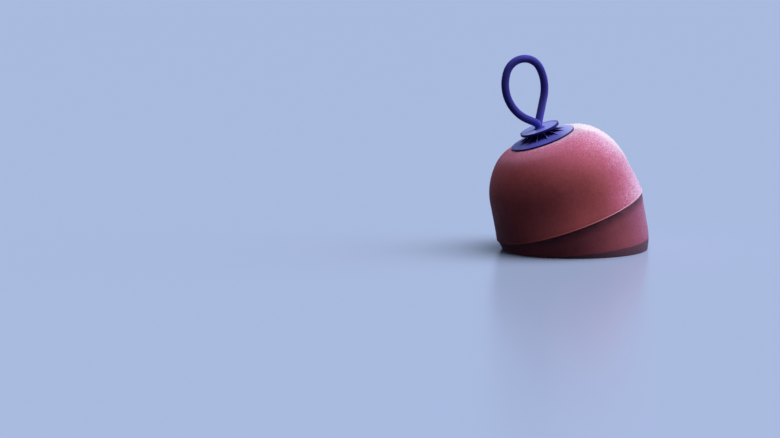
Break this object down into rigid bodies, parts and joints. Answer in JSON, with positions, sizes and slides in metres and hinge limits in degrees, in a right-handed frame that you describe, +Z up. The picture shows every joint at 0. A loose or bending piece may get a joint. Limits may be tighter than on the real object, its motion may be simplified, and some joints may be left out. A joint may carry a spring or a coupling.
{
  "type": "mooring buoy",
  "caption": "Round mooring buoy afloat at a lean: a two-half plastic float on a coated through bar with a teardrop eye at each end, collars and ribbed flanges.",
  "frame": {"origin": "where the buoy's own axis meets the water's surface", "axes": "+Z up from the water's surface; the buoy's own axis leans towards -X in the XZ plane, by 19.8 degrees from +Z; the eyes stand in that plane"},
  "size_m": [0.4186, 0.401, 0.8383],
  "materials": {
    "float_red": "matte, fine grain",
    "flange_blue": "matte, moulded",
    "bar_coat": "matte, dipped plastic coat"
  },
  "bodies": {
    "float": {"float_upper": "float_red", "float_lower": "float_red", "top_flange": "flange_blue", "bottom_flange": "flange_blue"},
    "eye_rod": {"rod": "bar_coat", "top_collar": "flange_blue", "bottom_collar": "flange_blue", "top_eye": "bar_coat", "bottom_eye": "bar_coat"}
  },
  "joints": [
    {"name": "rod_swivel", "type": "hinge", "parent": "float", "child": "eye_rod", "pos_m": [0, 0, 0], "axis": [-0.3387, 0, 0.9409], "continuous": true}
  ]
}
